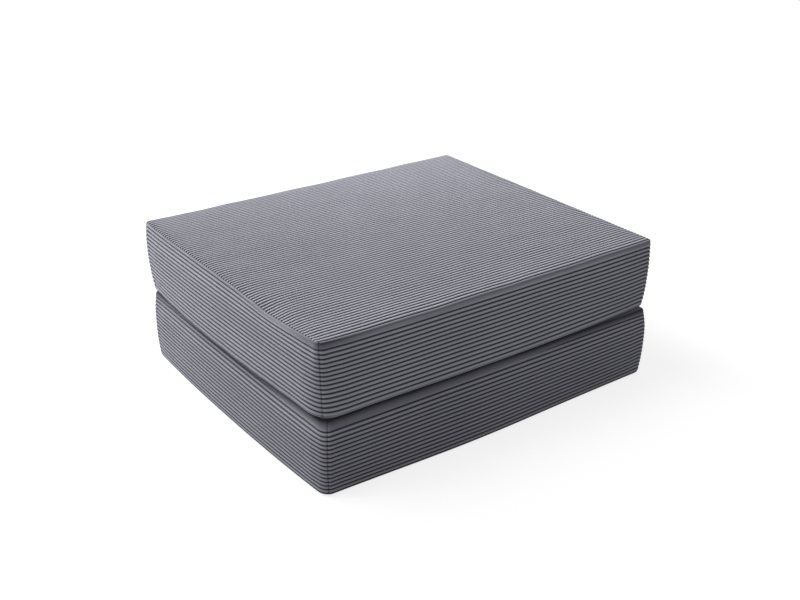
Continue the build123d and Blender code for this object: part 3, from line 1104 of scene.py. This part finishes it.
def bead_tree(name, sizes, material):
    """The tree that sets beads along a line of vertices."""
    graph, given = new_tree(name, sizes)
    line = graph.node("GeometryNodeMeshToCurve", None, {"Mesh": given["Geometry"]})
    even = graph.node("GeometryNodeResampleCurve", {"mode": "LENGTH"},
                      {"Curve": line, "Length": given["spacing"]})
    tangent = graph.node("GeometryNodeInputTangent")
    turn = graph.node("FunctionNodeAlignRotationToVector", {"axis": "X"}, {"Vector": tangent})
    size = graph.node("ShaderNodeCombineXYZ", None, {
        "X": given["bead length"] / 2, "Y": given["bead height"] / 2, "Z": given["bead width"] / 2})
    bead = graph.node("GeometryNodeMeshUVSphere", None, {"Segments": 8, "Rings": 5, "Radius": 1.0})
    smooth = graph.node("GeometryNodeSetShadeSmooth", None, {"Geometry": bead})
    beads = graph.node("GeometryNodeInstanceOnPoints", None,
                       {"Points": even, "Instance": smooth, "Rotation": turn, "Scale": size})
    return end_tree(graph, beads, material)


def beads_along(name, lines, tree, sizes):
    """An object of beads along one or more lines of points."""
    points = np.concatenate([np.asarray(line, float) for line in lines])
    edges, start = [], 0
    for line in lines:
        edges += [(start + i, start + i + 1) for i in range(len(line) - 1)]
        start += len(line)
    mesh = bpy.data.meshes.new(name)
    mesh.from_pydata(points.tolist(), edges, [])
    return run_tree(new_object(name, mesh), tree, sizes)


# Twisted polyester thread is a shade darker than the cloth, and a nylon coil a little glossy.
thread = two_tone_material("sewing thread", (70, 71, 78), (122, 123, 131), 0.5,
                           scale=2500, detail=1, stretch=(1, 3, 3))
nylon = two_tone_material("zip coil", (52, 53, 58), (84, 85, 92), 0.3, scale=60)
stitches = bead_tree("stitches", stitch_sizes, thread)
coils = bead_tree("coil turns", turn_sizes, nylon)
print("bead trees:", stitches.name, "and", coils.name)

# %% [markdown]
# ## The zip of each cover
# The tapes lie behind a slit in the back wall and are sewn to it by a row of stitches above
# and one below. The coil's turns are set over the plain bars of the CAD coil, a little
# proud of them, so the teeth show and the slider still runs clear.

# %% Zip stitches and coil
stitch_rise, stitch_overrun = 9.5 * mm, 6 * mm  # above the slit and past its ends
stitch_points = 120
coil_end = slit_end - 8.3 * mm


def on_cover(cover, xs, z):
    """Points on the back of a cover at these X and this Z, found by rays from behind."""
    hits = (cover.ray_cast((x, 1, z), (0, -1, 0))[1] for x in xs)
    return [tuple(hit) for hit in hits]


for slab in (base, top):
    cover, level = covers[slab.name], zip_level(slab)
    xs = np.linspace(-slit_end - stitch_overrun, slit_end + stitch_overrun, stitch_points)
    stitch_lines = [on_cover(cover, xs, level + side * stitch_rise) for side in (-1, 1)]
    sewn = beads_along(f"{slab.name}_zip_stitches", stitch_lines, stitches, stitch_sizes)
    row = (coil_row_gap + coil_height) / 2
    coil_lines = [[(x, tape_plane(slab), level + side * row) for x in (-coil_end, coil_end)]
                  for side in (-1, 1)]
    turns = beads_along(f"{slab.name}_zip_coil_turns", coil_lines, coils, turn_sizes)
    for piece, finish in ((sewn, "corduroy"), (turns, "zip_stringer")):
        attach(piece, f"{slab.name}_slab")

# %% [markdown]
# ## The hinge tape
# A strip of twill is sewn along the base's upper edge and the top's lower one, and folds
# between them. It is one piece here, shaped as it lies while the ottoman is folded.

# %% Hinge tape
tape_reach, tape_steps = 354 * mm, 120
fold_z = slab_thickness
# The tape's middle line on the base's rim and on the top's, in mm from the fold's level.
tape_on_base = ((467.5, -3.2), (470.2, -2.5), (472.6, -1.75), (474.2, -0.97))
tape_on_top = ((474.2, 0.97), (471.0, 1.7), (467.0, 2.5), (461.8, 3.2))
half_tape = 0.8  # in mm
bend_x, bend_depth, bend_points = 474.2, 0.75, 7


def hinge_section():
    """The tape's closed outline across the fold, seen along the hinge."""
    inner = [(x, z + half_tape) for x, z in tape_on_base]
    inner += [(x, z - half_tape) for x, z in tape_on_top]
    outer = [(x, z + half_tape) for x, z in tape_on_top[::-1]]
    bend_height = tape_on_top[0][1] + half_tape
    angles = np.linspace(math.pi / 2, -math.pi / 2, bend_points)[1:-1]
    outer += [(bend_x + bend_depth * math.cos(a), bend_height * math.sin(a)) for a in angles]
    outer += [(x, z - half_tape) for x, z in tape_on_base[::-1]]
    return np.array(inner + outer) * mm


def hinge_tape():
    """The tape as a closed strip along the hinge."""
    section = hinge_section()
    ys = np.linspace(-tape_reach, tape_reach, tape_steps)
    points = np.array([(x, y, fold_z + z) for y in ys for x, z in section])
    n = len(section)
    faces = [(i * n + j, i * n + (j + 1) % n, (i + 1) * n + (j + 1) % n, (i + 1) * n + j)
             for i in range(len(ys) - 1) for j in range(n)]
    faces += [tuple(range(n))[::-1], tuple((len(ys) - 1) * n + j for j in range(n))]
    return mesh_object("hinge_tape", points, faces)


def twill_material():
    """Grey twill tape: fine slanting ribs across its length."""
    material, graph = new_material("twill tape")
    slanting = own_place(graph, {"Rotation": (0.6, 0.0, 0.5)})
    ribs = graph.node("ShaderNodeTexWave", {"bands_direction": "Y"},
                      {"Vector": slanting, "Scale": 260.0, "Distortion": 1.5, "Detail": 2.0}, "Fac")
    dust = noise(graph, 40, 3)
    tone = mix_colours(graph, ribs, colour((70, 71, 77)), colour((112, 113, 121)))
    dusty = mix_colours(graph, 0.25 * dust, tone, colour((140, 141, 148)))
    finish_material(graph, {"Base Color": dusty, "Roughness": 0.85 + 0.1 * dust,
                            "Normal": bumps(graph, ribs, 0.4 * mm, 0.6)})
    return material


twill = twill_material()
tape = hinge_tape()
tape.data.materials.append(twill)
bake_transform(tape)
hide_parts("hinge_tape_base_half", "hinge_tape_top_half")
print("hinge tape:", len(tape.data.polygons), "faces,", open_edges(tape.data), "open edges")

# %% [markdown]
# ## Foam and zip metal
# Foam is a froth of tiny cells. The pieces of the zip keep their CAD shape and only get a
# finish. Its tapes are twill, as the hinge tape is. The stops, the slider and its pull are
# cast zinc under grey lacquer, worn brighter where fingers and cloth rub.

# %% Finishes of the CAD pieces
def foam_material():
    """Open-celled foam, cream and matte."""
    material, graph = new_material("open-cell foam")
    cells = graph.node("ShaderNodeTexVoronoi", {"feature": "F1"},
                       {"Vector": own_place(graph), "Scale": 900.0}, "Distance").clipped()
    yellowing = noise(graph, 6, 3)
    cream = mix_colours(graph, yellowing, colour((246, 240, 214)), colour((236, 224, 186)))
    tone = mix_colours(graph, 0.35 * cells, cream, colour((196, 182, 140)))
    finish_material(graph, {"Base Color": tone, "Roughness": 0.9 + 0.1 * yellowing,
                            "Normal": bumps(graph, cells, 0.6 * mm, 0.5)})
    return material


def lacquer_material():
    """Grey lacquered zinc with fine scratches."""
    material, graph = new_material("lacquered zinc")
    scratches = noise(graph, 350, 4, 0.7, (0.2, 1, 1))
    rubbed = ((noise(graph, 90) - 0.52) * 6).clipped()
    tone = mix_colours(graph, rubbed, colour((78, 79, 84)), colour((150, 150, 153)))
    finish_material(graph, {
        "Base Color": tone, "Roughness": 0.28 + 0.2 * scratches,
        "Metallic": 0.4 + 0.5 * rubbed, "Normal": bumps(graph, scratches, 0.2 * mm, 0.15),
    })
    return material


foam, lacquer = foam_material(), lacquer_material()
for piece in fillings.values():
    piece.data.materials.append(foam)
finishes = {
    "zip_stringer": twill, "zip_top_stop": lacquer, "zip_bottom_stop": lacquer,
    "zip_slider": lacquer, "zip_pull": lacquer,
}
dressed = []
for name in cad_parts:
    for kind, finish in finishes.items():
        if kind in name:
            for place in bpy.data.objects[name].material_slots:
                place.material = finish
            dressed.append(name)
print(len(dressed), "CAD pieces dressed")

# %% [markdown]
# ## Light and floor
# The main light is a wide soft lamp from above and behind the free end, so the seat and the
# end wall are bright and the long front is in shade. A smaller lamp, like a window behind
# the ottoman, lights the seat from the back. The floor is white to the camera and still
# takes the ottoman's shadow.

# %% Stage
white = (1, 1, 1, 1)
floor_colour, floor_glow, floor_half = (0.3, 0.3, 0.3, 1), 0.8, 9
world_light = 0.37
sun = {"azimuth": -126, "elevation": 56, "width": 30, "strength": 1.3}
window = {"place": (-1.0, 2.2, 1.8), "target": (0, 0, 0.3), "size": 1.2, "power": 70}


def floor_material():
    """White for the camera, apart from shadows, and plain pale for the light."""
    material, graph = new_material("floor")
    seen = graph.node("ShaderNodeLightPath", None, None, "Is Camera Ray")
    plain = graph.node("ShaderNodeBsdfDiffuse", None, {"Color": floor_colour})
    glow = graph.node("ShaderNodeEmission", None, {"Color": white, "Strength": seen * floor_glow})
    both = graph.node("ShaderNodeAddShader", None, {0: plain, 1: glow})
    graph.node("ShaderNodeOutputMaterial", None, {"Surface": both})
    return material


def soft_sun(name, azimuth, elevation, width, strength):
    """A wide, even lamp far away, from a side and a height in degrees."""
    data = bpy.data.lights.new(name, "SUN")
    data.angle, data.energy = math.radians(width), strength
    turn = way_out(azimuth, elevation).to_track_quat("Z", "Y")
    new_object(name, data).matrix_world = turn.to_matrix().to_4x4()


def area_lamp(name, place, target, size, power):
    """A square lamp that points at a target."""
    data = bpy.data.lights.new(name, "AREA")
    data.shape, data.size, data.energy = "SQUARE", size, power
    turn = (Vector(place) - Vector(target)).to_track_quat("Z", "Y").to_matrix().to_4x4()
    new_object(name, data).matrix_world = Matrix.Translation(place) @ turn


def white_world():
    """A world that lights softly and is white where the camera or a reflection sees it."""
    world = bpy.data.worlds.new("studio")
    world.use_nodes = True
    world.node_tree.nodes.clear()
    graph = Graph(world.node_tree)
    camera_ray, glossy_ray, clear_ray = (
        graph.node("ShaderNodeLightPath", None, None, f"Is {kind} Ray")
        for kind in ("Camera", "Glossy", "Transmission"))
    seen = (camera_ray + glossy_ray + clear_ray).clipped()
    level = world_light + (1 - world_light) * seen
    light = graph.node("ShaderNodeBackground", None, {"Color": white, "Strength": level})
    graph.node("ShaderNodeOutputWorld", None, {"Surface": light})
    bpy.context.scene.world = world


corners = [(x * floor_half, y * floor_half, 0) for x, y in ((-1, -1), (1, -1), (1, 1), (-1, 1))]
floor = mesh_object("floor", np.array(corners, float), [(0, 1, 2, 3)])
floor.data.materials.append(floor_material())
floor.location.z = -1 * mm
white_world()
soft_sun("key lamp", **sun)
area_lamp("window lamp", **window)
bpy.context.scene.view_settings.view_transform = "Standard"
print("lamps:", [o.name for o in bpy.context.scene.objects if o.type == "LIGHT"])
